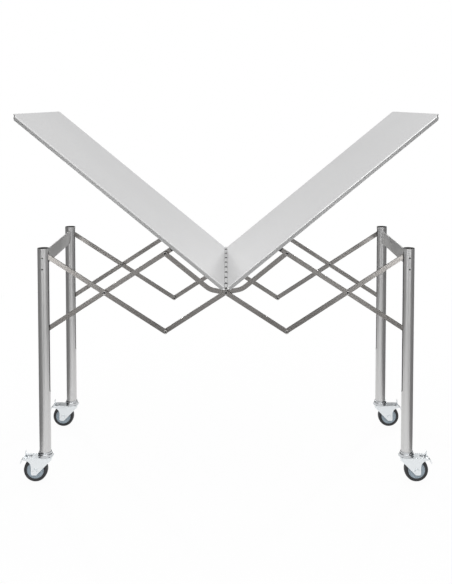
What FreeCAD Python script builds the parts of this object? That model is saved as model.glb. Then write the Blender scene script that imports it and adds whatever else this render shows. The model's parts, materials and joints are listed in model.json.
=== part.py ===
import FreeCAD, Part
import math
import os

# A mobile folding table: two leaves hinged at the middle, carried by a front and a rear scissor lattice
# between two end frames on braked casters. Millimetres, +Z up, +Y away from the viewer, +X to the right.
# The origin is on the floor, midway between the legs. The pose is half folded.

# Leaves
leaf_length = 900.0
leaf_depth = 800.0
leaf_thickness = 14.0
leaf_sheet = 2.0
leaf_rim = 14.0
leaf_edge_radius = 4.0
tip_undercut = 16.0
tip_corner = 11.0
rib_lip = 2.0
rib_inset = 50.0

# Leaf hinge
hinge_pin_radius = 3.0
knuckle_wall = 2.5
knuckle_room = 1.5
knuckle_count = 9
end_knuckle = 48.0
knuckle_space = 25.0
spacer_wall = 2.0
hinge_height = 44.0

# Scissor lattice, with the bars' angle half folded, with the top flat and fully folded
half_bar = 250.0
bar_angle = 33.0
flat_angle = 2.5
folded_angle = 67.0
bar_width = 16.0
bar_thickness = 6.0
layer_gap = 1.0
crank_out = 56.0
crank_up = 11.0
crank_bend = 15.0
crank_steps = 6
bar_overrun = 38.0
pivot_height = 798.0
rivet_radius = 4.0
rivet_head_radius = 7.0
rivet_head_height = 3.0
rivet_washer_radius = 7.5
end_pin_radius = 5.0

# Saddles under the leaves
saddle_wall = 8.0
saddle_notch = 32.0
saddle_lead = 4.6
saddle_roof = 5.8
saddle_mouth = 14.0
saddle_width = 18.0
saddle_roof_gap = 1.4

# End frames
leg_spacing = 520.0
tube_radius = 20.0
tube_wall = 2.0
leaf_rest_gap = 0.8
leg_slot_room = 2.0
leg_slot_end_room = 16.0
leg_slot_top_margin = 7.0
pin_seat = 1.0
leg_hole_radius = 2.8
leg_hole_drops = (32.4, 71.4)
rail_drop = 16.0
rail_height = 49.0
rail_thickness = 5.0
slider_height = 44.0
slider_rise = 11.5
slider_clearance = 0.4
slider_pin_inset = 3.0

# Casters
wheel_radius = 41.0
wheel_width = 30.0
wheel_top_gap = 2.0
wheel_side_gap = 3.5
hub_radius = 29.0
hub_recess = 3.0
hub_boss_radius = 10.0
trail = 33.0
fork_sheet = 3.0
fork_nose = 40.0
fork_nose_height = 9.0
fork_shoulder_drop = 22.0
fork_shoulder_bend = (6.0, 8.0)
fork_heel_height = 6.0
fork_heel_in = 4.0
fork_foot_drop = 15.0
cheek_half = 14.0
cheek_corner = 6.0
collar_radius = 25.0
collar_ring = 13.0
collar_neck_lip = 2.0
collar_neck_height = 4.9
stem_length = 45.0
king_pin_radius = 6.0
king_head_radius = 10.0
king_head_height = 4.0
axle_radius = 5.0
axle_head_radius = 8.5
axle_head_height = 5.0
axle_head_sides = 6
pedal_inset = 5.0
pedal_drop = 7.0
pedal_tube_radius = 3.5
pedal_pin_radius = 2.0
pedal_sheet = 2.5
pedal_width = 24.0
pedal_curve_radius = 18.0
pedal_curve_turn = 85.0
pedal_tab_width = 10.0
pedal_tab_height = 18.0
plate_slot_length = 25.8
plate_slot_room = 3.8
plate_slot_side_room = 2.0

# Clearances, and how far a cutting solid runs past what it cuts
running = 0.05
face_gap = 0.1
side_gap = 0.3
loose = 0.6
past = 1.0
tiny = 0.001

Vec = FreeCAD.Vector
sides = {"left": -1, "right": 1}
lattice_planes = {"front": -leg_spacing / 2, "rear": leg_spacing / 2}
planes = list(lattice_planes.values())

angle = math.radians(bar_angle)
reach = half_bar * math.cos(angle)
drop = half_bar * math.sin(angle)
leg_x = 3 * reach
center = (0.0, pivot_height - drop)
hinge_axis_height = center[1] + hinge_height
flat_top = pivot_height - half_bar * math.sin(math.radians(flat_angle)) + hinge_height
lowest_slider = pivot_height - 2 * half_bar * math.sin(math.radians(folded_angle))

front_layer = (-layer_gap / 2 - bar_thickness, -layer_gap / 2)
rear_layer = (layer_gap / 2, layer_gap / 2 + bar_thickness)
saddle_front = rear_layer[1] + loose
saddle_back = saddle_front + saddle_width

tube_top = flat_top - leaf_thickness - leaf_rest_gap
tube_bore = tube_radius - tube_wall
slider_radius = tube_bore - slider_clearance
rail_top = tube_top - rail_drop
rail_bottom = rail_top - rail_height

tip_slope = tip_undercut / leaf_thickness
tip_wall = leaf_sheet * math.hypot(1, tip_slope)
knuckle_radius = hinge_pin_radius + knuckle_wall
hinge_edge_gap = knuckle_radius + knuckle_room
knuckle_pitch = (leaf_depth - 2 * end_knuckle - knuckle_space) / (knuckle_count - 2)
space_middles = [knuckle_pitch * (n - (knuckle_count - 2) / 2) for n in range(knuckle_count - 1)]

fork_low = 2 * wheel_radius + wheel_top_gap
fork_top = fork_low + fork_sheet
fork_foot = wheel_radius - fork_foot_drop
fork_reach = trail + fork_nose
fork_inner = wheel_width / 2 + wheel_side_gap
fork_outer = fork_inner + fork_sheet
pedal_reach = fork_reach - pedal_inset
pedal_height = fork_top - pedal_drop
collar_base = fork_top + face_gap
ring_top = collar_base + collar_ring
tube_bottom = ring_top + collar_neck_height


def save(node, solids):
    shape = solids[0] if len(solids) == 1 else Part.makeCompound(solids)
    for solid in shape.Solids:
        if not solid.isValid():
            raise ValueError(node + " is not valid")
    shape.exportStep("parts/" + node + ".step")
    print(node, len(shape.Solids), "solids,", round(shape.Volume / 1000.0, 1), "cm3")


def box(low, high):
    size = [b - a for a, b in zip(low, high)]
    return Part.makeBox(size[0], size[1], size[2], Vec(*low))


def side_box(side, near, far, y_low, y_high, z_low, z_high):
    # a box whose X range is given as distances outward from the middle of the table or the leg's axis
    ends = sorted((side * near, side * far))
    return box((ends[0], y_low, z_low), (ends[1], y_high, z_high))


def rod(radius, start, end):
    line = Vec(*end) - Vec(*start)
    return Part.makeCylinder(radius, line.Length, Vec(*start), line)


def rod_y(radius, x, z, y_low, y_high):
    return rod(radius, (x, y_low, z), (x, y_high, z))


def rod_z(radius, x, y, z_low, z_high):
    return rod(radius, (x, y, z_low), (x, y, z_high))


def fused(solids):
    return solids[0].multiFuse(solids[1:]).removeSplitter()


def plate_y(points, y_low, y_high):
    corners = [Vec(x, y_low, z) for x, z in points]
    face = Part.Face(Part.makePolygon(corners + [corners[0]]))
    return face.extrude(Vec(0, y_high - y_low, 0))


def plate_z(points, z_low, z_high):
    corners = [Vec(x, y, z_low) for x, y in points]
    face = Part.Face(Part.makePolygon(corners + [corners[0]]))
    return face.extrude(Vec(0, 0, z_high - z_low))


def drilled(solid, holes):
    # cuts a hole along Y at each (x, z, radius)
    bounds = solid.BoundBox
    for x, z, radius in holes:
        solid = solid.cut(rod_y(radius, x, z, bounds.YMin - past, bounds.YMax + past))
    return solid


def flat_bar(points, layer, plane):
    # a flat bar along a line of pivot points, with round ends
    low, high = plane + layer[0], plane + layer[1]
    half = bar_width / 2
    solids = [rod_y(half, x, z, low, high) for x, z in points]
    for (x0, z0), (x1, z1) in zip(points, points[1:]):
        length = math.hypot(x1 - x0, z1 - z0)
        nx, nz = -(z1 - z0) / length * half, (x1 - x0) / length * half
        outline = [(x0 + nx, z0 + nz), (x1 + nx, z1 + nz), (x1 - nx, z1 - nz), (x0 - nx, z0 - nz)]
        solids.append(plate_y(outline, low, high))
    return fused(solids)


def rivet(x, z, plane):
    # the shank fills the bars' holes, a washer keeps the bars apart and a head closes each side
    front, rear = plane + front_layer[0] - face_gap, plane + rear_layer[1] + face_gap
    half_washer = layer_gap / 2 - face_gap
    return fused(
        [
            rod_y(rivet_radius, x, z, front, rear),
            rod_y(rivet_washer_radius, x, z, plane - half_washer, plane + half_washer),
            rod_y(rivet_head_radius, x, z, front - rivet_head_height, front),
            rod_y(rivet_head_radius, x, z, rear, rear + rivet_head_height),
        ]
    )


# Pivot points of the lattice in the X Z plane, for a side of -1 or 1
def upper_joint(side):
    return (side * reach, pivot_height)


def lower_joint(side):
    return (side * reach, pivot_height - 2 * drop)


def crossing(side):
    return (side * 2 * reach, center[1])


def leg_pivot(side):
    return (side * leg_x, pivot_height)


def slider_pivot(side):
    return (side * leg_x, pivot_height - 2 * drop)


def leaf_pin(side):
    x, z = upper_joint(side)
    return (x - side * bar_overrun * math.cos(angle), z + bar_overrun * math.sin(angle))


# The leaves lie on the lifting bars' pins, which sets how far they tip
pin_rise = leaf_pin(1)[1] - hinge_axis_height
pin_reach = math.hypot(leaf_pin(1)[0], pin_rise)
pin_depth = leaf_thickness + saddle_roof + saddle_roof_gap + end_pin_radius
leaf_angle = math.degrees(math.atan2(pin_rise, leaf_pin(1)[0]) + math.asin(pin_depth / pin_reach))
saddle_center = math.sqrt(pin_reach**2 - pin_depth**2) + saddle_lead


def side_layer(side, sloping_down):
    # bars that fall from left to right lie in the front layer, those that rise in the rear layer
    return front_layer if (side < 0) == sloping_down else rear_layer


def outer_bar(side, plane):
    bar = flat_bar([leg_pivot(side), lower_joint(side)], side_layer(side, True), plane)
    holes = [leg_pivot(side) + (end_pin_radius + running,), crossing(side) + (rivet_radius,)]
    return drilled(bar, holes + [lower_joint(side) + (rivet_radius,)])


def lifting_bar(side, plane):
    bar = flat_bar([slider_pivot(side), leaf_pin(side)], side_layer(side, False), plane)
    holes = [slider_pivot(side) + (end_pin_radius,), crossing(side) + (rivet_radius + running,)]
    return drilled(bar, holes + [upper_joint(side) + (rivet_radius,), leaf_pin(side) + (end_pin_radius,)])


def towards(start, end, length):
    share = length / math.dist(start, end)
    return tuple(a + (b - a) * share for a, b in zip(start, end))


def crank_path(side):
    # points of a smooth bend that starts and ends crank_bend away from the crank's corner
    corner = (side * crank_out, center[1] + crank_up)
    start = towards(corner, upper_joint(side), crank_bend)
    end = towards(corner, center, crank_bend)
    points = []
    for n in range(crank_steps + 1):
        t = n / crank_steps
        weights = ((1 - t) ** 2, 2 * t * (1 - t), t**2)
        points.append(tuple(sum(w * p for w, p in zip(weights, row)) for row in zip(start, corner, end)))
    return points


def middle_bar(side, plane):
    # side is that of the upper end, which is cranked to clear the leaves
    path = [upper_joint(side)] + crank_path(side) + [center, lower_joint(-side)]
    bar = flat_bar(path, side_layer(side, True), plane)
    middle_radius = rivet_radius if side > 0 else rivet_radius + running
    holes = [upper_joint(side) + (rivet_radius + running,), center + (middle_radius,)]
    return drilled(bar, holes + [lower_joint(-side) + (rivet_radius + running,)])


def bar_end_pins(side, plane):
    # the slider's pin and the pin that carries the leaf's saddle, both fixed in the lifting bar
    slider_half = slider_radius - slider_pin_inset
    slider_pin = rod_y(end_pin_radius, *slider_pivot(side), plane - slider_half, plane + slider_half)
    flush, far = plane - side * layer_gap / 2, plane - side * saddle_back
    return [slider_pin, rod_y(end_pin_radius, *leaf_pin(side), min(flush, far), max(flush, far))]


def slider(side, plane):
    # it hangs mostly below its pin, to pass under the outer bar's end when the top is flat
    x, z = slider_pivot(side)
    z_low, z_high = z + slider_rise - slider_height, z + slider_rise
    body = rod_z(slider_radius, 0, plane, z_low, z_high)
    low, high = side_layer(side, False)
    behind = bar_width / 2 + loose
    y_low, y_high = plane + low - loose, plane + high + loose
    body = body.cut(side_box(side, -tube_radius, behind, y_low, y_high, z_low - past, z_high + past))
    body.translate(Vec(x, 0, 0))
    return drilled(body, [(x, z, end_pin_radius + running)])


def leg_pin(side, plane):
    half = tube_bore + pin_seat
    return rod_y(end_pin_radius, *leg_pivot(side), plane - half, plane + half)


def leg(side, plane, outward):
    # a tube with a slot towards the middle of the table, where the bars go in
    x = side * leg_x
    outside = tube_radius + past
    tube = rod_z(tube_radius, x, plane, tube_bottom, tube_top)
    tube = tube.cut(rod_z(tube_bore, x, plane, tube_bottom, tube_top))
    half = rear_layer[1] + leg_slot_room
    low = lowest_slider - bar_width / 2 - leg_slot_end_room + half
    high = tube_top - leg_slot_top_margin - half
    x_in = x - side * outside
    slot = box((min(x, x_in), plane - half, low), (max(x, x_in), plane + half, high))
    ends = [rod(half, (x, plane, z), (x_in, plane, z)) for z in (low, high)]
    tube = tube.cut(fused([slot] + ends))
    for hole_drop in leg_hole_drops:
        z = tube_top - hole_drop
        tube = tube.cut(rod(leg_hole_radius, (x, plane, z), (x, plane + outward * outside, z)))
    return tube.cut(leg_pin(side, plane))


def rail(side):
    # a flat bar on edge between the tubes
    x = side * leg_x
    half = rail_thickness / 2
    low, high = planes
    bar = box((x - half, low, rail_bottom), (x + half, high, rail_top))
    for plane in planes:
        bar = bar.cut(rod_z(tube_radius, x, plane, rail_bottom - past, rail_top + past))
    return bar


def knuckle_spans(side):
    # the knuckles belong to the left and right leaf in turn, from the front
    half = knuckle_space / 2
    starts = [-leaf_depth / 2] + [middle + half for middle in space_middles]
    ends = [middle - half for middle in space_middles] + [leaf_depth / 2]
    first_owned = 0 if side < 0 else 1
    return list(zip(starts, ends))[first_owned::2]


def hinge_spacer(middle):
    half = knuckle_space / 2 - side_gap
    sleeve = rod_y(hinge_pin_radius + spacer_wall, 0, hinge_axis_height, middle - half, middle + half)
    return drilled(sleeve, [(0, hinge_axis_height, hinge_pin_radius)])


def tipped(solid, side):
    solid = solid.copy()
    solid.rotate(Vec(0, 0, 0), Vec(0, 1, 0), -side * leaf_angle)
    solid.translate(Vec(0, 0, hinge_axis_height))
    return solid


def leaf_section(side, near, far, low, high):
    # an outline in X Z whose outer end slopes in towards the underside
    ends = [(side * (far + tip_slope * z), z) for z in (high, low)]
    return [(side * near, high)] + ends + [(side * near, low)]


def corner_cut(side, y_side):
    # what is taken off a corner of the tip, seen from above
    half = leaf_depth / 2
    near, far = leaf_length - tip_corner - past, leaf_length + past
    low, high = y_side * (half - tip_corner - past), y_side * (half + past)
    corner = [(side * near, high), (side * far, low), (side * far, high)]
    return plate_z(corner, -leaf_thickness - past, past)


def leaf_panel(side):
    # a tray of sheet with round top edges and a hollow rim along each side
    # the rims are open where the corners of the tip are cut off
    half = leaf_depth / 2
    bottom, under = -leaf_thickness, -leaf_sheet
    near = hinge_edge_gap + leaf_sheet
    panel = plate_y(leaf_section(side, hinge_edge_gap, leaf_length, bottom, 0), -half, half)
    side_edges = []
    for edge in panel.Edges:
        middle = edge.CenterOfMass
        if abs(middle.z) < tiny and abs(middle.y) > half - tiny:
            side_edges.append(edge)
    panel = panel.makeFillet(leaf_edge_radius, side_edges)
    inner = half - leaf_rim
    well = leaf_section(side, near, leaf_length - tip_wall, bottom - past, under)
    panel = panel.cut(plate_y(well, -inner, inner))
    for y in (-half, inner):
        y_low, y_high = y + leaf_sheet, y + leaf_rim - leaf_sheet
        hollow = side_box(side, near, leaf_length + past, y_low, y_high, bottom + leaf_sheet, under)
        panel = panel.cut(hollow)
    for y_side in (-1, 1):
        panel = panel.cut(corner_cut(side, y_side))
    return panel


def leaf_rib(side, plane):
    # an open-ended channel that lies on the leg tops when the top is flat
    low, high = plane - saddle_back - rib_lip, plane + saddle_back + rib_lip
    bottom, under = -leaf_thickness, -leaf_sheet
    start, end = hinge_edge_gap + rib_inset, leaf_length - rib_inset
    rib = side_box(side, start, end, low, high, bottom, under)
    y_low, y_high = low + leaf_sheet, high - leaf_sheet
    return rib.cut(side_box(side, start - past, end + past, y_low, y_high, bottom + leaf_sheet, under))


def leaf(side):
    # made flat with its top at height 0 and the hinge on the Y axis, then tipped up
    pieces = [leaf_panel(side)] + [leaf_rib(side, plane) for plane in planes]
    tab_end = hinge_edge_gap + leaf_sheet
    for low, high in knuckle_spans(side):
        pieces.append(rod_y(knuckle_radius, 0, 0, low, high))
        pieces.append(side_box(side, 0, tab_end, low, high, -knuckle_radius, -leaf_edge_radius / 2))
    solid = drilled(fused(pieces), [(0, 0, hinge_pin_radius + running)])
    return tipped(solid, side)


def saddle(side, plane):
    # a block under the rib with a notch, open below, that sits on the lifting bar's pin
    # it lies on that bar's outer side, so that its pin never meets the middle bar in the other layer
    y_low, y_high = sorted((plane - side * saddle_front, plane - side * saddle_back))
    notch_half = saddle_notch / 2
    half = notch_half + saddle_wall
    roof = -leaf_thickness - saddle_roof
    low = roof - saddle_mouth
    block = side_box(side, saddle_center - half, saddle_center + half, y_low, y_high, low, -leaf_thickness)
    near, far = saddle_center - notch_half, saddle_center + notch_half
    notch = side_box(side, near, far, y_low - past, y_high + past, low - past, roof)
    return tipped(block.cut(notch), side)


def caster_head(side, plane):
    # collar and expander stem, fixed in the tube, with the pin that the fork turns on
    x = side * leg_x
    plate_low = fork_low - face_gap
    ring = rod_z(collar_radius, x, plane, collar_base, ring_top)
    upper_rim = [edge for edge in ring.Edges if abs(edge.CenterOfMass.z - ring_top) < tiny]
    ring = ring.makeFillet(collar_ring / 3, upper_rim)
    return fused(
        [
            ring,
            rod_z(tube_radius + collar_neck_lip, x, plane, ring_top - past, tube_bottom),
            rod_z(tube_bore - running, x, plane, tube_bottom - past, tube_bottom + stem_length),
            rod_z(king_pin_radius, x, plane, plate_low, collar_base),
            rod_z(king_head_radius, x, plane, plate_low - king_head_height, plate_low),
        ]
    )


def fork_cheek(side):
    # a side plate's outline as distances outward from the leg's axis, with round stretches as arcs
    def point(out, z):
        return Vec(side * out, 0, z)

    out = trail + cheek_half
    nose = fork_top - fork_nose_height
    shoulder = nose - fork_shoulder_drop
    bend_out, bend_down = fork_shoulder_bend
    corner = cheek_corner
    corner_cut = corner * (1 - math.sqrt(0.5))
    heel = trail - fork_heel_in
    inner = -collar_radius
    lines = [
        Part.LineSegment(point(inner, fork_top), point(fork_reach, fork_top)),
        Part.LineSegment(point(fork_reach, fork_top), point(fork_reach, nose)),
        Part.Arc(point(fork_reach, nose), point(out + bend_out, nose - bend_down), point(out, shoulder)),
        Part.LineSegment(point(out, shoulder), point(out, fork_foot + corner)),
        Part.Arc(
            point(out, fork_foot + corner),
            point(out - corner_cut, fork_foot + corner_cut),
            point(out - corner, fork_foot),
        ),
        Part.LineSegment(point(out - corner, fork_foot), point(heel, fork_foot)),
        Part.LineSegment(point(heel, fork_foot), point(inner, fork_top - fork_heel_height)),
        Part.LineSegment(point(inner, fork_top - fork_heel_height), point(inner, fork_top)),
    ]
    return Part.Face(Part.Wire([line.toShape() for line in lines]))


def fork(side, plane):
    # one pressed piece: a top plate with two cheeks, made about the leg's axis and moved there
    pieces = [
        rod_z(collar_radius, 0, 0, fork_low, fork_top),
        side_box(side, 0, fork_reach, -fork_outer, fork_outer, fork_low, fork_top),
    ]
    cheek = fork_cheek(side)
    for start in (-fork_outer, fork_inner):
        wall = cheek.extrude(Vec(0, fork_sheet, 0))
        wall.translate(Vec(0, start, 0))
        pieces.append(wall)
    slot_end = pedal_reach + plate_slot_room
    slot_start = slot_end - plate_slot_length
    slot_half = pedal_tab_width / 2 + plate_slot_side_room
    low, high = fork_low - past, fork_top + past
    solid = fused(pieces).cut(side_box(side, slot_start, slot_end, -slot_half, slot_half, low, high))
    solid = solid.cut(rod_z(king_pin_radius + running, 0, 0, low, high))
    pedal_hole = (side * pedal_reach, pedal_height, pedal_pin_radius + running)
    solid = drilled(solid, [(side * trail, wheel_radius, axle_radius), pedal_hole])
    solid.translate(Vec(side * leg_x, plane, 0))
    return solid


def axle(side, plane):
    # a bolt through both cheeks with a hexagon on each side
    x = side * (leg_x + trail)
    pieces = [rod_y(axle_radius, x, wheel_radius, plane - fork_outer, plane + fork_outer)]
    corners = []
    for n in range(axle_head_sides):
        turn = 2 * math.pi * n / axle_head_sides
        out, up = axle_head_radius * math.cos(turn), axle_head_radius * math.sin(turn)
        corners.append((x + out, wheel_radius + up))
    for outward in (-1, 1):
        start = plane + outward * fork_outer
        pieces.append(plate_y(corners, start, start + outward * axle_head_height))
    return fused(pieces)


def hub(side, plane):
    x = side * (leg_x + trail)
    half = wheel_width / 2
    boss_half = fork_inner - side_gap
    disc = rod_y(hub_radius, x, wheel_radius, plane - half, plane + half)
    for outward in (-1, 1):
        floor = plane + outward * (half - hub_recess)
        outside = plane + outward * (half + past)
        recess = rod_y(hub_radius - hub_recess, x, wheel_radius, floor, outside)
        disc = disc.cut(recess.cut(rod_y(hub_boss_radius, x, wheel_radius, floor, outside)))
    solid = fused([disc, rod_y(hub_boss_radius, x, wheel_radius, plane - boss_half, plane + boss_half)])
    return drilled(solid, [(x, wheel_radius, axle_radius + running)])


def tyre(side, plane):
    x = side * (leg_x + trail)
    half = wheel_width / 2
    ring = rod_y(wheel_radius, x, wheel_radius, plane - half, plane + half)
    rims = [edge for edge in ring.Edges if edge.Curve.TypeId == "Part::GeomCircle"]
    ring = ring.makeFillet((wheel_radius - hub_radius) / 3, rims)
    return drilled(ring, [(x, wheel_radius, hub_radius)])


def pedal(side, plane):
    # foot lever with a release tab, turning on a pin between the fork's cheeks
    half, tab_half, half_sheet = pedal_width / 2, pedal_tab_width / 2, pedal_sheet / 2
    tube_half = fork_inner - side_gap
    x, z = side * pedal_reach, pedal_height
    tab_low, tab_high = pedal_reach - half_sheet, pedal_reach + half_sheet
    tab_top = fork_top + pedal_tab_height

    def curve_point(radius, turn):
        out = radius * math.sin(math.radians(turn))
        up = radius * math.cos(math.radians(turn))
        return Vec(x + side * out, -half, z - pedal_curve_radius + up)

    arcs = []
    for radius in (pedal_curve_radius + half_sheet, pedal_curve_radius - half_sheet):
        arcs.append([curve_point(radius, pedal_curve_turn * share) for share in (0, 0.5, 1)])
    outer, inner = arcs
    outline = [
        Part.Arc(*outer),
        Part.LineSegment(outer[2], inner[2]),
        Part.Arc(*inner),
        Part.LineSegment(inner[0], outer[0]),
    ]
    strip = Part.Face(Part.Wire(Part.sortEdges([line.toShape() for line in outline])[0]))
    tip = curve_point(pedal_curve_radius, pedal_curve_turn)
    pieces = [
        rod_y(pedal_tube_radius, x, z, -tube_half, tube_half),
        rod_y(pedal_pin_radius, x, z, -fork_outer, fork_outer),
        side_box(side, tab_low, tab_high, -tab_half, tab_half, z, tab_top),
        strip.extrude(Vec(0, pedal_width, 0)),
        rod_y(half_sheet, tip.x, tip.z, -half, half),
    ]
    solid = fused(pieces)
    solid.translate(Vec(side * leg_x, plane, 0))
    return solid


os.makedirs("parts", exist_ok=True)

for name, side in sides.items():
    for place, plane in lattice_planes.items():
        outward = -1 if place == "front" else 1
        save(f"leg_{name}_{place}", [leg(side, plane, outward)])
        save(f"outer_bar_{name}_{place}", [outer_bar(side, plane)])
        save(f"lifting_bar_{name}_{place}", [lifting_bar(side, plane)])
        save(f"middle_bar_{name}_{place}", [middle_bar(side, plane)])
        save(f"fork_{name}_{place}", [fork(side, plane)])
        save(f"axle_{name}_{place}", [axle(side, plane)])
        save(f"hub_{name}_{place}", [hub(side, plane)])
        save(f"tyre_{name}_{place}", [tyre(side, plane)])
        save(f"pedal_{name}_{place}", [pedal(side, plane)])
    save(f"rail_{name}", [rail(side)])
    save(f"leg_pins_{name}", [leg_pin(side, plane) for plane in planes])
    save(f"caster_heads_{name}", [caster_head(side, plane) for plane in planes])
    crossings = [rivet(*crossing(side), plane) for plane in planes]
    save(f"outer_rivets_{name}", crossings + [rivet(*lower_joint(side), plane) for plane in planes])
    save(f"upper_rivets_{name}", [rivet(*upper_joint(side), plane) for plane in planes])
    save(f"bar_end_pins_{name}", [pin for plane in planes for pin in bar_end_pins(side, plane)])
    save(f"sliders_{name}", [slider(side, plane) for plane in planes])
    save(f"leaf_{name}", [leaf(side)])
    save(f"saddles_{name}", [saddle(side, plane) for plane in planes])

save("middle_rivets", [rivet(*center, plane) for plane in planes])
save("hinge_pin", [rod_y(hinge_pin_radius, 0, hinge_axis_height, -leaf_depth / 2, leaf_depth / 2)])
save("hinge_spacers", [hinge_spacer(middle) for middle in space_middles])
print("leaf angle", round(leaf_angle, 3), "tube", round(tube_bottom, 2), "to", round(tube_top, 2))
print("leg x", round(leg_x, 3), "hinge height", round(hinge_axis_height, 3))
print("pedal height", round(pedal_height, 2))
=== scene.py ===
import json
import math

import bmesh
import bpy
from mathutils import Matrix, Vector
from mathutils.bvhtree import BVHTree


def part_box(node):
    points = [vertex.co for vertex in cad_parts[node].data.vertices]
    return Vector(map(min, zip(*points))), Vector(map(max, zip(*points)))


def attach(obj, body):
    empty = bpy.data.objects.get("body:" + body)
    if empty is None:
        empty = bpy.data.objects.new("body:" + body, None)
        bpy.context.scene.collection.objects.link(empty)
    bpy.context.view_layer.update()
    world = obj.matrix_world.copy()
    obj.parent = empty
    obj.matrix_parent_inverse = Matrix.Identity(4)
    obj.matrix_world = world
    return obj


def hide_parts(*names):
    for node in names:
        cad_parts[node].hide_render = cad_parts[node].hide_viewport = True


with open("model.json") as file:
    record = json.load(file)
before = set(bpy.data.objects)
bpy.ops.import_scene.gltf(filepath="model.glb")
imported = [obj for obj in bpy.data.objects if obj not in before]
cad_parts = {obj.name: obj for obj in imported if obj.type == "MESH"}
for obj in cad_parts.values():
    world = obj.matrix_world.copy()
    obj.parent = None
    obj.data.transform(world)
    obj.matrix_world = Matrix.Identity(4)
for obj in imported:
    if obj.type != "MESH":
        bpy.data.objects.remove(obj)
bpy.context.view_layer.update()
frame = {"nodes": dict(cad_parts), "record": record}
nodes = frame["nodes"]
bodyOf = {node: body for body, group in frame["record"]["behaviour"]["bodies"].items() for node in group}
slotOf = {part["node"]: part["material_slot"] for part in frame["record"]["subparts"]}
print("frame loaded:", len(nodes), "nodes")


# shader maths: a socket that can be added, taken away and multiplied
class Socket:
    def __init__(self, finish, socket):
        self.finish = finish
        self.socket = socket

    def combine(self, operation, other, flipped=False):
        pair = (other, self) if flipped else (self, other)
        return self.finish.add("ShaderNodeMath", {"operation": operation}, {0: pair[0], 1: pair[1]})

    def __add__(self, other):
        return self.combine("ADD", other)

    def __radd__(self, other):
        return self.combine("ADD", other, True)

    def __sub__(self, other):
        return self.combine("SUBTRACT", other)

    def __rsub__(self, other):
        return self.combine("SUBTRACT", other, True)

    def __mul__(self, other):
        return self.combine("MULTIPLY", other)

    def __rmul__(self, other):
        return self.combine("MULTIPLY", other, True)


class Finish:
    def __init__(self, tree):
        self.tree = tree
        tree.nodes.clear()

    def add(self, kind, settings=None, inputs=None, output=0):
        node = self.tree.nodes.new(kind)
        for key, value in (settings or {}).items():
            if key == "stops":
                ramp = node.color_ramp.elements
                for element, (place, shade) in zip((ramp[0], ramp[1]), value):
                    element.position = place
                    element.color = (shade, shade, shade, 1)
            else:
                setattr(node, key, value)
        for key, value in (inputs or {}).items():
            if isinstance(value, Socket):
                self.tree.links.new(value.socket, node.inputs[key])
            else:
                node.inputs[key].default_value = value
        return Socket(self, node.outputs[output]) if len(node.outputs) else None

    def objectPoint(self, scale=(1, 1, 1), turn=(0, 0, 0)):
        point = self.add("ShaderNodeTexCoord", output="Object")
        return self.add("ShaderNodeMapping", {}, {"Vector": point, "Rotation": turn, "Scale": scale})

    def noise(self, point, scale=1.0, detail=2.0, roughness=0.5):
        values = {"Vector": point, "Scale": scale, "Detail": detail, "Roughness": roughness}
        return self.add("ShaderNodeTexNoise", {}, values)

    def ramp(self, value, low, high):
        settings = {"stops": ((low, 0.0), (high, 1.0))}
        return self.add("ShaderNodeValToRGB", settings, {"Fac": value})

    def blend(self, factor, first, second):
        pair = [(*c, 1.0) if isinstance(c, tuple) else c for c in (first, second)]
        return self.add("ShaderNodeMix", {"data_type": "RGBA"}, {0: factor, 6: pair[0], 7: pair[1]}, 2)

    def bump(self, height, depth, strength):
        values = {"Height": height, "Distance": depth, "Strength": strength}
        return self.add("ShaderNodeBump", {}, values)

    def surface(self, **values):
        named = {key.replace("_", " "): value for key, value in values.items()}
        shader = self.add("ShaderNodeBsdfPrincipled", {}, named)
        self.add("ShaderNodeOutputMaterial", {}, {"Surface": shader})


def newFinish(name):
    material = bpy.data.materials.new(name)
    material.use_nodes = True
    return material, Finish(material.node_tree)


# satin powder coat on the leaves, with a faint orange peel
leafCoat = {"light": (0.662, 0.662, 0.665), "dark": (0.645, 0.645, 0.648), "roughness": 0.48,
            "spread": 0.08, "cloud": 3.0, "peel": 420.0, "peelShare": 0.3, "depth": 0.00003,
            "strength": 0.35}


def makeLeafCoat():
    coat = leafCoat
    material, f = newFinish("leafCoat")
    point = f.objectPoint()
    cloud = f.noise(point, coat["cloud"], detail=3.0)
    peel = f.noise(point, coat["peel"])
    shade = cloud * (1 - coat["peelShare"]) + peel * coat["peelShare"]
    colour = f.blend(shade, coat["dark"], coat["light"])
    rough = coat["roughness"] + (cloud - 0.5) * coat["spread"]
    f.surface(Base_Color=colour, Roughness=rough, Normal=f.bump(peel, coat["depth"], coat["strength"]))
    return material


# the leaves' rims: the same coat, rubbed thin and more metallic
rimCoat = {"light": (0.63, 0.63, 0.63), "dark": (0.6, 0.6, 0.6), "roughness": 0.3, "spread": 0.05,
           "metallic": 0.9, "rub": (3, 12, 3)}


def makeRimCoat():
    coat = rimCoat
    material, f = newFinish("rimCoat")
    rub = f.noise(f.objectPoint(coat["rub"]))
    colour = f.blend(rub, coat["dark"], coat["light"])
    rough = coat["roughness"] + (rub - 0.5) * coat["spread"]
    f.surface(Base_Color=colour, Roughness=rough, Metallic=coat["metallic"])
    return material


# satin metal coat on the legs and rails, with faint drawing lines along Z
legCoat = {"light": (0.645, 0.643, 0.64), "dark": (0.615, 0.613, 0.61),
           "roughness": 0.34, "metallic": 0.74}
railCoat = {"light": (0.6, 0.597, 0.592), "dark": (0.575, 0.572, 0.567),
            "roughness": 0.42, "metallic": 0.6}
satinGrain = {"lines": (90, 90, 1.6), "grain": 900.0, "spread": 0.08, "depth": 0.00001, "strength": 0.25}


def makeSatin(name, coat):
    size = satinGrain
    material, f = newFinish(name)
    lines = f.noise(f.objectPoint(size["lines"]))
    grain = f.noise(f.objectPoint(), size["grain"], detail=1.0)
    colour = f.blend(lines, coat["dark"], coat["light"])
    rough = coat["roughness"] + (lines - 0.5) * size["spread"]
    normal = f.bump(grain, size["depth"], size["strength"])
    f.surface(Base_Color=colour, Roughness=rough, Metallic=coat["metallic"], Normal=normal)
    return material


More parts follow.
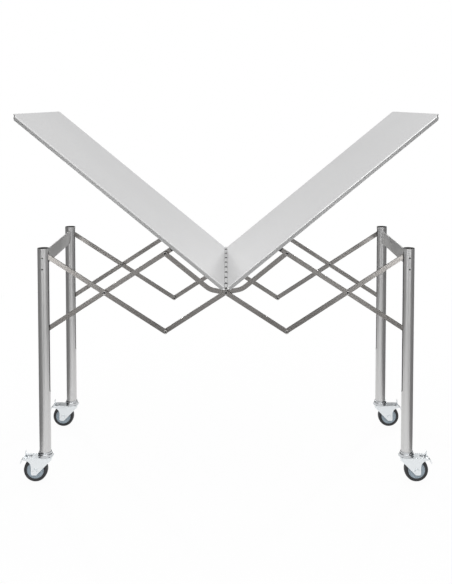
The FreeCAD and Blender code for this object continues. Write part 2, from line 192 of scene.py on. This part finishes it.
# drawn flat bar: streaks run along the bar's slope, with a few stains
barMetal = {"light": (0.4, 0.384, 0.37), "dark": (0.355, 0.339, 0.325), "roughness": 0.25,
            "metallic": 0.97, "slope": 33.0, "streaks": (2.5, 90, 90), "streakSpread": 0.06,
            "stains": 9.0, "stainFrom": 0.4, "stainFull": 0.75, "stainShare": 0.4, "stainSpread": 0.04,
            "depth": 0.00001, "strength": 0.15}


def makeBarMetal(name, rising):
    size = barMetal
    material, f = newFinish(name)
    slope = math.radians(size["slope"]) * rising
    streaks = f.noise(f.objectPoint(size["streaks"], (0, slope, 0)))
    cloud = f.noise(f.objectPoint(), size["stains"], detail=3.0, roughness=0.55)
    stains = f.ramp(cloud, size["stainFrom"], size["stainFull"])
    shade = streaks * (1 - size["stainShare"]) + stains * size["stainShare"]
    colour = f.blend(shade, size["dark"], size["light"])
    rough = size["roughness"] + (streaks - 0.5) * size["streakSpread"] + stains * size["stainSpread"]
    normal = f.bump(streaks, size["depth"], size["strength"])
    f.surface(Base_Color=colour, Roughness=rough, Metallic=size["metallic"], Normal=normal)
    return material


# plated steel of rivets, pins and casters, and near-black painted shade for the insides of tubes and
# rims and the hinge gaps
platings = {
    "platedSteel": {"light": (0.48, 0.47, 0.46), "dark": (0.41, 0.4, 0.39),
                    "roughness": 0.4, "metallic": 0.9},
    # dark steel, also used as painted shade in the rivets' eyelets
    "darkSteelAndShade": {"light": (0.06, 0.06, 0.06), "dark": (0.035, 0.035, 0.036),
                  "roughness": 0.42, "metallic": 0.6},
    "brightZinc": {"light": (0.83, 0.86, 0.88), "dark": (0.79, 0.82, 0.84),
                   "roughness": 0.33, "metallic": 0.86},
    "collarChrome": {"light": (0.6, 0.615, 0.63), "dark": (0.53, 0.545, 0.56),
                     "roughness": 0.2, "metallic": 1.0},
    # painted shade: near-black where the insides of tubes and rims and the hinge gaps lie in shade
    "paintedShade": {"light": (0.03, 0.029, 0.028), "dark": (0.02, 0.019, 0.018),
                   "roughness": 0.7, "metallic": 0.0},
}
platingGrain = {"spangle": 70.0, "grain": 1200.0, "spread": 0.1, "depth": 0.00001, "strength": 0.25}


def makePlating(name):
    coat, size = platings[name], platingGrain
    material, f = newFinish(name)
    spangle = f.noise(f.objectPoint(), size["spangle"], detail=3.0, roughness=0.55)
    grain = f.noise(f.objectPoint(), size["grain"], detail=1.0)
    colour = f.blend(spangle, coat["dark"], coat["light"])
    rough = coat["roughness"] + (spangle - 0.5) * size["spread"]
    normal = f.bump(grain, size["depth"], size["strength"])
    f.surface(Base_Color=colour, Roughness=rough, Metallic=coat["metallic"], Normal=normal)
    return material


# moulded plastic and rubber
mouldings = {
    "blackNylon": {"light": (0.035, 0.035, 0.036), "dark": (0.022, 0.022, 0.023), "roughness": 0.5,
                   "grain": 1400.0, "depth": 0.00004},
    "hubPlastic": {"light": (0.36, 0.425, 0.475), "dark": (0.33, 0.395, 0.445), "roughness": 0.48,
                   "grain": 1100.0, "depth": 0.00002},
    "tyreRubber": {"light": (0.031, 0.032, 0.035), "dark": (0.022, 0.023, 0.025), "roughness": 0.62,
                   "grain": 900.0, "depth": 0.00006},
}
mouldingGrain = {"cloud": 45.0, "spread": 0.15, "strength": 0.6}


def makeMoulding(name):
    coat, size = mouldings[name], mouldingGrain
    material, f = newFinish(name)
    grain = f.noise(f.objectPoint(), coat["grain"], detail=3.0, roughness=0.6)
    cloud = f.noise(f.objectPoint(), size["cloud"], detail=3.0)
    colour = f.blend(cloud, coat["dark"], coat["light"])
    rough = coat["roughness"] + (cloud - 0.5) * size["spread"]
    normal = f.bump(grain, coat["depth"], size["strength"])
    f.surface(Base_Color=colour, Roughness=rough, Normal=normal)
    return material


# by the record's slot names, and a few finishes that only some nodes of a slot have
finishes = {
    "leaf_paint": makeLeafCoat(),
    "leg_satin": makeSatin("legCoat", legCoat),
    "plated_steel": makePlating("platedSteel"),
    "dark_steel": makePlating("darkSteelAndShade"),
    "bright_zinc": makePlating("brightZinc"),
    "black_nylon": makeMoulding("blackNylon"),
    "hub_plastic": makeMoulding("hubPlastic"),
    "tyre_rubber": makeMoulding("tyreRubber"),
}
railFinish = makeSatin("railCoat", railCoat)
barFalling = makeBarMetal("barFalling", -1)
barRising = makeBarMetal("barRising", 1)
rimFinish = makeRimCoat()
chrome = makePlating("collarChrome")
paintedShade = makePlating("paintedShade")
print("finishes made")

# bars that fall from left to right, seen from the front
fallingBars = ("outer_bar_left", "middle_bar_left", "lifting_bar_right")


def finishFor(node):
    slot = slotOf[node]
    if node.startswith("caster_heads"):
        return chrome
    if node.startswith("rail"):
        return railFinish
    if slot == "bar_steel":
        return barFalling if node.startswith(fallingBars) else barRising
    return finishes[slot]


for node, obj in nodes.items():
    obj.data.materials.clear()
    obj.data.materials.append(finishFor(node))
print("finishes given to the nodes")

# mesh helpers, with angles in degrees
mergeDistance = 0.00001
flatAngle = 0.5  # neighbouring triangles under it are one face
sharpAngle = 30
turnedSharp = 35  # for turned and repeated pieces, which have longer facets
bevelAngle = 40


def addPiece(name, mesh, node, *materials):
    for material in materials:
        mesh.materials.append(material)
    obj = bpy.data.objects.new(name, mesh)
    bpy.context.scene.collection.objects.link(obj)
    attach(obj, bodyOf[node])
    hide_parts(node)
    return obj


def smoothMesh(mesh, angle=sharpAngle):
    for polygon in mesh.polygons:
        polygon.use_smooth = True
    mesh.set_sharp_from_angle(angle=math.radians(angle))


def mergedCopy(node):
    work = bmesh.new()
    work.from_mesh(nodes[node].data)
    bmesh.ops.remove_doubles(work, verts=work.verts, dist=mergeDistance)
    flat = math.radians(flatAngle)
    bmesh.ops.dissolve_limit(work, angle_limit=flat, verts=work.verts, edges=work.edges)
    bmesh.ops.recalc_face_normals(work, faces=work.faces)
    return work


def meshFrom(work, name):
    mesh = bpy.data.meshes.new(name)
    work.to_mesh(mesh)
    work.free()
    return mesh


def addBevel(obj, width, segments=2):
    bevel = obj.modifiers.new("edge", "BEVEL")
    bevel.width = width
    bevel.segments = segments
    bevel.limit_method = "ANGLE"
    bevel.angle_limit = math.radians(bevelAngle)
    bevel.use_clamp_overlap = True
    bevel.harden_normals = True


# the box of each loose solid in a node
def islandBoxes(node):
    work = bmesh.new()
    work.from_mesh(nodes[node].data)
    bmesh.ops.remove_doubles(work, verts=work.verts, dist=mergeDistance)
    left = set(work.verts)
    found = []
    while left:
        group, waiting = [], [left.pop()]
        while waiting:
            vert = waiting.pop()
            group.append(vert.co.copy())
            near = {edge.other_vert(vert) for edge in vert.link_edges} & left
            left -= near
            waiting.extend(near)
        low = Vector(min(v[i] for v in group) for i in range(3))
        high = Vector(max(v[i] for v in group) for i in range(3))
        found.append((low, high))
    work.free()
    return sorted(found, key=lambda pair: tuple(round(v, 4) for v in pair[0]))


# turns a closed outline of (radius, along) about a Y axis through place
def lathe(work, profile, place, segments):
    along = Vector((0, 1, 0))
    across = along.orthogonal().normalized()
    beside = along.cross(across)
    rings = []
    for i in range(segments):
        turn = math.tau * i / segments
        out = across * math.cos(turn) + beside * math.sin(turn)
        rings.append([work.verts.new(place + out * r + along * a) for r, a in profile])
    count = len(profile)
    for i, ring in enumerate(rings):
        after = rings[(i + 1) % segments]
        for j in range(count):
            k = (j + 1) % count
            work.faces.new((ring[j], after[j], after[k], ring[k]))


# a side's outline and its mirror image make the whole outline
def bothSides(side):
    return side + [(r, -a) for r, a in reversed(side)]


def addTurned(node, work, angle=turnedSharp):
    bmesh.ops.recalc_face_normals(work, faces=work.faces)
    mesh = meshFrom(work, node + "Turned")
    smoothMesh(mesh, angle)
    addPiece(node + "Turned", mesh, node, finishFor(node))


def arcPoints(centre, radius, start, end, steps):
    angles = [math.radians(start + (end - start) * i / steps) for i in range(steps + 1)]
    return [(centre[0] + radius * math.cos(a), centre[1] + radius * math.sin(a)) for a in angles]


# bars, with edges rounded by the drawing die, and black tips under the leaves
barPiece = {"edge": 0.0005, "edgeSteps": 3, "tip": 0.016}


def makeBars():
    for node in [n for n in nodes if slotOf[n] == "bar_steel"]:
        work = mergedCopy(node)
        if node.startswith("lifting"):
            blackenTip(work, "left" if "left" in node else "right")
        mesh = meshFrom(work, node + "Dressed")
        smoothMesh(mesh)
        obj = addPiece(node + "Dressed", mesh, node, finishFor(node), finishes["black_nylon"])
        addBevel(obj, barPiece["edge"], barPiece["edgeSteps"])


def blackenTip(work, side):
    pins = [(low + high) / 2 for low, high in islandBoxes("bar_end_pins_" + side)]
    tip = max(pins, key=lambda place: place.z)
    foot = min(pins, key=lambda place: place.z)
    along = Vector((tip.x - foot.x, 0, tip.z - foot.z)).normalized()
    start = tip - along * barPiece["tip"]
    everything = work.verts[:] + work.edges[:] + work.faces[:]
    bmesh.ops.bisect_plane(work, geom=everything, plane_co=start, plane_no=along)
    for face in work.faces:
        if (face.calc_center_median() - start).dot(along) > 0:
            face.material_index = 1


# leaves: coated faces and brighter rims, and painted shade inside the hollow rims, at their cut corners
# and behind the sleeves
leafPiece = {"rim": 0.015, "hollow": 0.015, "step": 0.0003, "hinge": 0.03, "hingeFacing": 0.3,
             "rimFacing": 0.85, "cornerFacing": 0.3, "cornerBack": 0.2, "flatArea": 0.004}
coated, rimmed, paintedShadeSlot = 0, 1, 2  # the leaves' material slots


def makeLeaves():
    size = leafPiece
    spaces = [(low.y, high.y) for low, high in islandBoxes("hinge_spacers")]
    for node in ("leaf_left", "leaf_right"):
        low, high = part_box(node)
        half = (high.y - low.y) / 2
        inward = 1 if high.x < -low.x else -1
        work = mergedCopy(node)
        splitAt(work, [y for pair in spaces for y in pair])
        tree = BVHTree.FromBMesh(work)
        for face in work.faces:
            face.material_index = leafFinish(tree, face, half, inward, spaces)
        mesh = meshFrom(work, node + "Dressed")
        smoothMesh(mesh)
        for polygon in mesh.polygons:
            polygon.use_smooth = polygon.area < size["flatArea"]
        addPiece(node + "Dressed", mesh, node, finishFor(node), rimFinish, paintedShade)


def leafFinish(tree, face, half, inward, spaces):
    size = leafPiece
    place, normal = face.calc_center_median(), face.normal
    towardsHinge = normal.x * inward
    facesHinge = towardsHinge > size["hingeFacing"] and normal.z < size["hingeFacing"]
    behindSleeve = any(low < place.y < high for low, high in spaces)
    # the hinge gaps, the rim hollows and the cut corners get painted shade
    if abs(place.x) < size["hinge"] and facesHinge and behindSleeve:
        return paintedShadeSlot
    if half - abs(place.y) >= size["rim"]:
        return coated
    if enclosed(tree, place, normal):
        return paintedShadeSlot
    if normal.y * place.y <= 0:  # doesn't face outwards
        return coated
    if abs(normal.y) > size["rimFacing"]:
        return rimmed
    atCorner = abs(normal.y) > size["cornerFacing"] and towardsHinge < -size["cornerBack"]
    return paintedShadeSlot if atCorner else coated


# cuts the faces near the hinge at each y, so that short lengths can have their own material
def splitAt(work, cuts):
    for y in cuts:
        faces = [f for f in work.faces if abs(f.calc_center_median().x) < leafPiece["hinge"]]
        edges = {e for f in faces for e in f.edges}
        verts = {v for f in faces for v in f.verts}
        geom = [*verts, *edges, *faces]
        bmesh.ops.bisect_plane(work, geom=geom, plane_co=(0, y, 0), plane_no=(0, 1, 0))


# a face of a rim's hollow looks at the hollow's opposite wall close by
def enclosed(tree, place, normal):
    return tree.ray_cast(place + normal * leafPiece["step"], normal, leafPiece["hollow"])[0] is not None


# leg tubes, with painted shade on the faces inside them
legPiece = {"insideFrom": 0.0014}


def makeLegs():
    for node in [n for n in nodes if n.startswith("leg_") and "pins" not in n]:
        low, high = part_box(node)
        middle = (low + high) / 2
        radius = middle.x - low.x
        work = mergedCopy(node)
        for face in work.faces:
            away = face.calc_center_median() - middle
            away.z = 0
            inside = away.length < radius - legPiece["insideFrom"] and away.dot(face.normal) < 0
            # faces inside the tube get the painted shade
            face.material_index = 1 if inside else 0
        mesh = meshFrom(work, node + "Dressed")
        smoothMesh(mesh)
        addPiece(node + "Dressed", mesh, node, finishFor(node), paintedShade)


# pressings, mouldings and pins: copies of the CAD pieces with their edges broken
edgeOf = {"rail": 0.0008, "saddles": 0.0014, "sliders": 0.001, "fork": 0.0007, "pedal": 0.0005,
          "caster_heads": 0.0008, "bar_end_pins": 0.0008, "hinge_pin": 0.0008}


def makePressings():
    for node in nodes:
        for start, width in edgeOf.items():
            if node.startswith(start):
                mesh = meshFrom(mergedCopy(node), node + "Dressed")
                smoothMesh(mesh)
                addBevel(addPiece(node + "Dressed", mesh, node, finishFor(node)), width)


# tyre, turned about the wheel's axis, with a bead, a fine groove and round shoulders
tyrePiece = {"beadInset": 0.0012, "beadWidth": 0.0015, "beadDrop": 0.0002, "groovePlace": 0.4,
             "grooveHalf": 0.0006, "grooveDepth": 0.0006, "shoulder": 0.005, "shoulderSteps": 6,
             "crown": 0.0006, "flat": 0.25}
wheelSegments = 72


def makeWheels():
    for node in [n for n in nodes if n.startswith("tyre_")]:
        hubNode = node.replace("tyre_", "hub_")
        low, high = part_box(node)
        hubLow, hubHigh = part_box(hubNode)
        centre = (low + high) / 2
        radius, half = (high.z - low.z) / 2, (high.y - low.y) / 2
        bead, hubHalf = (hubHigh.z - hubLow.z) / 2, (hubHigh.y - hubLow.y) / 2
        makeTyre(node, centre, radius, half, bead)
        makeHub(hubNode, centre, bead, hubHalf, half)


def makeTyre(node, centre, radius, half, bead):
    size = tyrePiece
    bend, wide = size["shoulder"], size["grooveHalf"]
    groove = bead + (radius - bead) * size["groovePlace"]
    side = [(bead, half - size["beadInset"]), (bead + size["beadWidth"], half - size["beadDrop"])]
    side += [(groove - wide, half), (groove, half - size["grooveDepth"]), (groove + wide, half)]
    side += arcPoints((radius - size["crown"] - bend, half - bend), bend, 90, 0, size["shoulderSteps"])
    side += [(radius, half * size["flat"])]
    work = bmesh.new()
    lathe(work, bothSides(side), centre, wheelSegments)
    addTurned(node, work)


# hub: bearing boss, recessed web with a raised ring, and a lip under the tyre
hubPiece = {"bore": 0.0051, "boss": 0.010, "bossTaper": 0.0022, "recess": 0.003, "ringFoot": 0.0014,
            "ringTop": 0.0008, "ringHeight": 0.0008, "edge": 0.0008, "rimWidth": 0.0028,
            "lip": ((0.0006, 0.0008), (0.0012, 0.0003))}


def makeHub(node, centre, bead, bossHalf, tyreHalf):
    size = hubPiece
    edge, boss, foot, top = size["edge"], size["boss"], size["ringFoot"], size["ringTop"]
    web = tyreHalf - size["recess"]
    raised = web + size["ringHeight"]
    rim = bead - size["rimWidth"]
    ring = (boss + rim) / 2
    shoulder = boss - size["bossTaper"]
    side = [(size["bore"], bossHalf), (shoulder, bossHalf), (shoulder + edge, bossHalf - edge)]
    side += [(boss, web + edge), (boss + edge, web)]
    side += [(ring - foot, web), (ring - top, raised), (ring + top, raised), (ring + foot, web)]
    side += [(rim - edge, web), (rim, web + edge)]
    side += [(rim + out, tyreHalf - down) for out, down in size["lip"]]
    side += [(bead, tyreHalf - tyrePiece["beadInset"])]
    work = bmesh.new()
    lathe(work, bothSides(side), centre, wheelSegments)
    addTurned(node, work)


# axle bolt: chamfered hexagon heads on washers
axlePiece = {"core": 0.0002, "shank": 0.005, "washer": 0.0083, "washerThick": 0.0011, "headHigh": 0.0049,
             "headShare": 0.92, "chamfer": 0.0009, "segments": 24, "washerSegments": 32, "sharp": 25}


def hexHead(work, centre, side, base, height, radius):
    count = axlePiece["segments"]
    flats = radius * math.cos(math.pi / 6)
    top = base + height
    made = []
    for along, cut in ((base, True), (top - axlePiece["chamfer"], True), (top, False)):
        ring = []
        for i in range(count):
            turn = math.tau * i / count
            reach = flats
            if cut:  # the flats cut the round bar down to a hexagon
                reach = flats / math.cos((turn % (math.pi / 3)) - math.pi / 6)
            place = Vector((reach * math.cos(turn), side * along, reach * math.sin(turn)))
            ring.append(work.verts.new(centre + place))
        made.append(ring)
    for lower, upper in zip(made, made[1:]):
        for i in range(count):
            after = (i + 1) % count
            work.faces.new((lower[i], lower[after], upper[after], upper[i]))
    work.faces.new(made[0])
    work.faces.new(made[-1])


def makeAxles():
    size = axlePiece
    core, shank, wide, thick = size["core"], size["shank"], size["washer"], size["washerThick"]
    for node in [n for n in nodes if n.startswith("axle_")]:
        low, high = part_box(node)
        centre = (low + high) / 2
        half = (high.y - low.y) / 2
        radius = (high.x - low.x) / 2 * size["headShare"]
        seat = half - size["headHigh"]
        work = bmesh.new()
        lathe(work, bothSides([(core, seat), (shank, seat)]), centre, size["segments"])
        washer = [(shank, seat), (wide, seat), (wide, seat + thick), (shank, seat + thick)]
        for side in (-1, 1):
            lathe(work, [(r, side * a) for r, a in washer], centre, size["washerSegments"])
            hexHead(work, centre, side, seat + thick, size["headHigh"] - thick, radius)
        addTurned(node, work, size["sharp"])


# geometry nodes for what repeats
class Tree:
    def __init__(self, name, sizes):
        self.tree = bpy.data.node_groups.new(name, "GeometryNodeTree")
        self.tree.interface.new_socket("Geometry", in_out="INPUT", socket_type="NodeSocketGeometry")
        self.keys = {}
        for label in sizes:
            socket = self.tree.interface.new_socket(label, in_out="INPUT", socket_type="NodeSocketFloat")
            self.keys[label] = socket.identifier
        self.tree.interface.new_socket("Geometry", in_out="OUTPUT", socket_type="NodeSocketGeometry")
        self.entry = self.tree.nodes.new("NodeGroupInput")
        self.exit = self.tree.nodes.new("NodeGroupOutput")

    def add(self, kind, settings=None, inputs=None, output=0):
        node = self.tree.nodes.new(kind)
        for key, value in (settings or {}).items():
            setattr(node, key, value)
        for key, value in (inputs or {}).items():
            if isinstance(value, bpy.types.NodeSocket):
                self.tree.links.new(value, node.inputs[key])
            elif isinstance(value, list):
                for link in value:
                    self.tree.links.new(link, node.inputs[key])
            else:
                node.inputs[key].default_value = value
        return node.outputs[output]

    def value(self, label):
        return self.entry.outputs[label]

    def maths(self, operation, first, second):
        return self.add("ShaderNodeMath", {"operation": operation}, {0: first, 1: second})

    def vectors(self, operation, values):
        return self.add("ShaderNodeVectorMath", {"operation": operation}, values)

    def circle(self, count, radius):
        values = {"Resolution": count, "Radius": radius}
        return self.add("GeometryNodeCurvePrimitiveCircle", {"mode": "RADIUS"}, values)

    def cylinder(self, count, radius, depth, rings=1):
        values = {"Vertices": count, "Side Segments": rings, "Radius": radius, "Depth": depth}
        return self.add("GeometryNodeMeshCylinder", {}, values)

    def join(self, *parts):
        return self.add("GeometryNodeJoinGeometry", {}, {0: list(parts)})

    def laidAlongY(self, geometry, y=0.0):
        place = self.add("ShaderNodeCombineXYZ", {}, {"Y": y})
        values = {"Geometry": geometry, "Translation": place, "Rotation": (math.pi / 2, 0, 0)}
        return self.add("GeometryNodeTransform", {}, values)

    def marked(self, geometry, name):
        settings = {"data_type": "BOOLEAN", "domain": "FACE"}
        values = {"Geometry": geometry, "Name": name, "Value": True}
        return self.add("GeometryNodeStoreNamedAttribute", settings, values)

    def close(self, instance, material, markName=None, markMaterial=None):
        values = {"Points": self.entry.outputs["Geometry"], "Instance": instance}
        placed = self.add("GeometryNodeInstanceOnPoints", {}, values)
        real = self.add("GeometryNodeRealizeInstances", {}, {"Geometry": placed})
        done = self.add("GeometryNodeSetMaterial", {}, {"Geometry": real, "Material": material})
        if markName:
            settings = {"data_type": "BOOLEAN"}
            chosen = self.add("GeometryNodeInputNamedAttribute", settings, {"Name": markName})
            values = {"Geometry": done, "Selection": chosen, "Material": markMaterial}
            done = self.add("GeometryNodeSetMaterial", {}, values)
        self.tree.links.new(done, self.exit.inputs["Geometry"])

    # the tree's result at these points, as a plain mesh
    def meshAt(self, name, points, sizes):
        cloud = bpy.data.meshes.new(name + "Points")
        cloud.from_pydata(points, [], [])
        holder = bpy.data.objects.new(name + "Points", cloud)
        bpy.context.scene.collection.objects.link(holder)
        modifier = holder.modifiers.new("repeat", "NODES")
        modifier.node_group = self.tree
        for label, value in sizes.items():
            modifier[self.keys[label]] = value
        graph = bpy.context.evaluated_depsgraph_get()
        mesh = bpy.data.meshes.new_from_object(holder.evaluated_get(graph))
        mesh.name = name
        bpy.data.objects.remove(holder)
        return mesh


# eyelet rivet: a rolled ring on each side, a dark shank that is painted shade for the eyelet's hollow,
# and a washer between the bars
rivetPiece = {"ring": 0.0016, "ringSeat": 0.85, "rim": 0.0064, "shank": 0.0038, "shankOut": 0.0004,
              "headHigh": 0.003, "washer": 0.0072, "washerThick": 0.0007,
              "rimSides": 28, "ringSides": 8, "shankSides": 24, "washerSides": 28}


def makeRivetTree():
    size = rivetPiece
    t = Tree("eyeletRivet", ("Rim Radius", "Ring Thickness", "Face Distance", "Shank Radius",
                             "Washer Radius", "Washer Thickness"))
    thick = t.value("Ring Thickness")
    face = t.value("Face Distance")
    path = t.circle(size["rimSides"], t.maths("SUBTRACT", t.value("Rim Radius"), thick))
    section = t.circle(size["ringSides"], thick)
    ring = t.add("GeometryNodeCurveToMesh", {}, {"Curve": path, "Profile Curve": section})
    seat = t.maths("ADD", face, t.maths("MULTIPLY", thick, size["ringSeat"]))
    front = t.laidAlongY(ring, t.maths("MULTIPLY", seat, -1.0))
    rear = t.laidAlongY(ring, seat)
    depth = t.maths("MULTIPLY", t.maths("ADD", face, size["shankOut"]), 2.0)
    shank = t.laidAlongY(t.cylinder(size["shankSides"], t.value("Shank Radius"), depth))
    disc = t.cylinder(size["washerSides"], t.value("Washer Radius"), t.value("Washer Thickness"))
    washer = t.laidAlongY(disc)
    rings = t.marked(t.join(front, rear, washer), "ring")
    # the shank's near-black is painted shade inside the eyelet; rings and washer are plated
    t.close(t.join(rings, shank), finishes["dark_steel"], "ring", finishes["plated_steel"])
    return t


def makeRivets():
    tree = makeRivetTree()
    size = rivetPiece
    sizes = {"Rim Radius": size["rim"], "Ring Thickness": size["ring"], "Shank Radius": size["shank"],
             "Washer Radius": size["washer"], "Washer Thickness": size["washerThick"]}
    for node in [n for n in nodes if n.endswith("_rivets") or "_rivets_" in n]:
        boxes = islandBoxes(node)
        points = [(low + high) / 2 for low, high in boxes]
        low, high = boxes[0]
        sizes["Face Distance"] = (high.y - low.y) / 2 - size["headHigh"]
        mesh = tree.meshAt(node + "Eyelets", points, sizes)
        smoothMesh(mesh, turnedSharp)
        addPiece(node + "Eyelets", mesh, node)


# sleeves between the hinge knuckles, waisted so that their ends bear on the knuckles; their black nylon
# also gives the hinge gaps painted shade
sleevePiece = {"edge": 0.0006, "waist": 0.14, "waistPower": 4.0, "sides": 32, "rings": 8}


def makeSleeves():
    size = sleevePiece
    node = "hinge_spacers"
    boxes = islandBoxes(node)
    t = Tree("hingeSleeve", ("Radius", "Length", "Waist"))
    length = t.value("Length")
    tube = t.cylinder(size["sides"], t.value("Radius"), length, size["rings"])
    place = t.add("GeometryNodeInputPosition")
    height = t.add("ShaderNodeSeparateXYZ", {}, {0: place}, "Z")
    toEnd = t.maths("DIVIDE", t.maths("MULTIPLY", height, 2.0), length)
    ends = t.maths("POWER", toEnd, size["waistPower"])
    inward = t.maths("MULTIPLY", t.maths("SUBTRACT", 1.0, ends), t.value("Waist"))
    shift = t.vectors("SCALE", {0: t.vectors("MULTIPLY", {0: place, 1: (-1, -1, 0)}), "Scale": inward})
    waisted = t.add("GeometryNodeSetPosition", {}, {"Geometry": tube, "Offset": shift})
    # black nylon sleeves, whose black is partly painted shade for the hinge gaps
    t.close(t.laidAlongY(waisted), finishes["black_nylon"])
    low, high = boxes[0]
    sizes = {"Radius": (high.x - low.x) / 2, "Length": high.y - low.y, "Waist": size["waist"]}
    mesh = t.meshAt(node + "Sleeves", [(a + b) / 2 for a, b in boxes], sizes)
    smoothMesh(mesh, turnedSharp)
    addBevel(addPiece(node + "Sleeves", mesh, node), size["edge"])


makeBars()
makeLeaves()
makeLegs()
makePressings()
print("bars, leaves, legs and pressings dressed")
makeWheels()
makeAxles()
print("wheels and axles turned")
makeRivets()
makeSleeves()
print("rivets and sleeves repeated")

# studio: white sweep, overhead box, front box above the camera, low boxes beside it, small lamps behind,
# and dark walls and cloths that only reflections see
studio = {
    "floorRadius": 9.0,
    "floorSides": 64,
    "floorColour": 0.86,
    "floorShown": 0.95,
    "fadeRadius": 1.08,
    "shadowRadius": 3.0,
    "top": {"place": (0, -0.2, 3.4), "size": (3.0, 2.4), "power": 16.0, "target": (0, 0, 0)},
    "front": {"place": (0, -3.6, 3.3), "size": (4.4, 1.6), "power": 58.0, "target": (0, 0, 0.6)},
    "low": {"place": (1.5, -3.7, 0.34), "size": (0.8, 0.4), "power": 4.6, "target": (0, 0, 0.7)},
    "rear": {"place": (2.0, 2.8, 2.1), "size": (0.2, 0.2), "power": 32.0, "target": (0, 0, 0.7)},
    "frontWall": {"side": 3.2, "place": -5.6, "height": 2.6},
    "sideWalls": {"side": 1.75, "front": -2.3, "back": 2.2, "height": 1.3},
    "backWall": {"side": 3.4, "place": 3.2, "height": 3.4},
    "cloths": {"clothFrontLeft": (-1.6, -0.08, -3.1, -1.5), "clothFrontRight": (0.08, 1.6, -3.1, -1.5),
               "clothLeft": (-1.75, -0.85, -1.4, 2.2), "clothRight": (0.85, 1.75, -1.4, 2.2)},
    "clothLift": 0.004,
    "wallShade": 0.05,
    "worldLight": 0.62,
}


def addLamp(name, kind, side=1):
    size = studio[kind]
    lamp = bpy.data.lights.new(name, "AREA")
    lamp.shape = "RECTANGLE"
    lamp.size, lamp.size_y = size["size"]
    lamp.energy = size["power"]
    obj = bpy.data.objects.new(name, lamp)
    bpy.context.scene.collection.objects.link(obj)
    x, y, z = size["place"]
    obj.location = (side * x, y, z)
    obj.rotation_euler = (Vector(size["target"]) - obj.location).to_track_quat("-Z", "Y").to_euler()


def addSheet(name, corners, material):
    mesh = bpy.data.meshes.new(name)
    mesh.from_pydata(corners, [], [tuple(range(len(corners)))])
    mesh.materials.append(material)
    sheet = bpy.data.objects.new(name, mesh)
    bpy.context.scene.collection.objects.link(sheet)
    return sheet


# 1 for the rays that should meet a plain white background
def backgroundRay(f):
    camera = f.add("ShaderNodeLightPath", output="Is Camera Ray")
    others = camera.socket.node.outputs
    return camera + Socket(f, others["Is Glossy Ray"]) + Socket(f, others["Is Transmission Ray"])


def makeWorld():
    world = bpy.data.worlds.new("studioWorld")
    bpy.context.scene.world = world
    world.use_nodes = True
    f = Finish(world.node_tree)
    strength = studio["worldLight"] + backgroundRay(f) * (1 - studio["worldLight"])
    sky = f.add("ShaderNodeBackground", {}, {"Color": (1, 1, 1, 1), "Strength": strength})
    f.add("ShaderNodeOutputWorld", {}, {"Surface": sky})


# the floor is white to the camera and fades into the background, and keeps the shadow under the table
def makeFloor():
    radius, shown, shade = studio["floorRadius"], studio["floorShown"], studio["floorColour"]
    material, f = newFinish("floorWhite")
    point = f.add("ShaderNodeTexCoord", output="Object")
    away = f.add("ShaderNodeVectorMath", {"operation": "LENGTH"}, {0: point}, 1)
    fade = f.ramp(away * (1 / radius), studio["fadeRadius"] / radius, studio["shadowRadius"] / radius)
    seen = backgroundRay(f) * (shown + fade * (1 - shown))
    white = f.add("ShaderNodeEmission", {}, {"Color": (1, 1, 1, 1), "Strength": 1.0})
    matt = f.add("ShaderNodeBsdfDiffuse", {}, {"Color": (shade, shade, shade, 1)})
    mixed = f.add("ShaderNodeMixShader", {}, {0: seen, 1: matt, 2: white})
    f.add("ShaderNodeOutputMaterial", {}, {"Surface": mixed})
    turns = [math.tau * i / studio["floorSides"] for i in range(studio["floorSides"])]
    addSheet("floor", [(radius * math.cos(t), radius * math.sin(t), 0) for t in turns], material)


# dark sheets that only reflections see
def makeWalls():
    material, f = newFinish("wallDark")
    shade = studio["wallShade"]
    dark = f.add("ShaderNodeBsdfDiffuse", {}, {"Color": (shade, shade, shade, 1)})
    f.add("ShaderNodeOutputMaterial", {}, {"Surface": dark})
    sheets = {}
    wall = studio["frontWall"]
    side, front, top = wall["side"], wall["place"], wall["height"]
    sheets["wallFront"] = [(-side, front, 0), (-side, front, top), (side, front, top), (side, front, 0)]
    wall = studio["backWall"]
    side, back, top = wall["side"], wall["place"], wall["height"]
    sheets["wallBack"] = [(-side, back, 0), (side, back, 0), (side, back, top), (-side, back, top)]
    wall = studio["sideWalls"]
    side, front, back, top = wall["side"], wall["front"], wall["back"], wall["height"]
    sheets["wallLeft"] = [(-side, front, 0), (-side, back, 0), (-side, back, top), (-side, front, top)]
    sheets["wallRight"] = [(side, front, 0), (side, front, top), (side, back, top), (side, back, 0)]
    lift = studio["clothLift"]
    for name, (low, high, near, far) in studio["cloths"].items():
        sheets[name] = [(low, near, lift), (high, near, lift), (high, far, lift), (low, far, lift)]
    for name, corners in sheets.items():
        sheet = addSheet(name, corners, material)
        sheet.visible_camera = False
        sheet.visible_diffuse = False
        sheet.visible_shadow = False


def makeLamps():
    addLamp("topBox", "top")
    addLamp("frontBox", "front")
    for kind in ("low", "rear"):
        addLamp(kind + "Left", kind, -1)
        addLamp(kind + "Right", kind)
    bpy.context.scene.view_settings.view_transform = "Standard"


# camera, fitted to the photograph's joints, wheels and leaf corners
view = {"distance": 3.2334, "height": 1.3152, "pitch": 3.0, "focalPixels": 870.5, "frameLong": 584.0,
        "horizonPixel": 102.8, "sensor": 36.0, "farthest": 200}


def makeCamera():
    data = bpy.data.cameras.new("camera")
    camera = bpy.data.objects.new("camera", data)
    bpy.context.scene.collection.objects.link(camera)
    pitch = math.radians(view["pitch"])
    camera.location = (0, -view["distance"], view["height"])
    camera.rotation_euler = (math.pi / 2 - pitch, 0, 0)
    data.sensor_width = view["sensor"]
    data.lens = view["sensor"] * view["focalPixels"] / view["frameLong"]
    axisPixel = view["horizonPixel"] + view["focalPixels"] * math.tan(pitch)
    data.shift_y = (axisPixel - view["frameLong"] / 2) / view["frameLong"]
    data.clip_end = view["farthest"]
    bpy.context.scene.camera = camera


makeWorld()
makeFloor()
makeWalls()
makeLamps()
makeCamera()
print("studio and camera made")
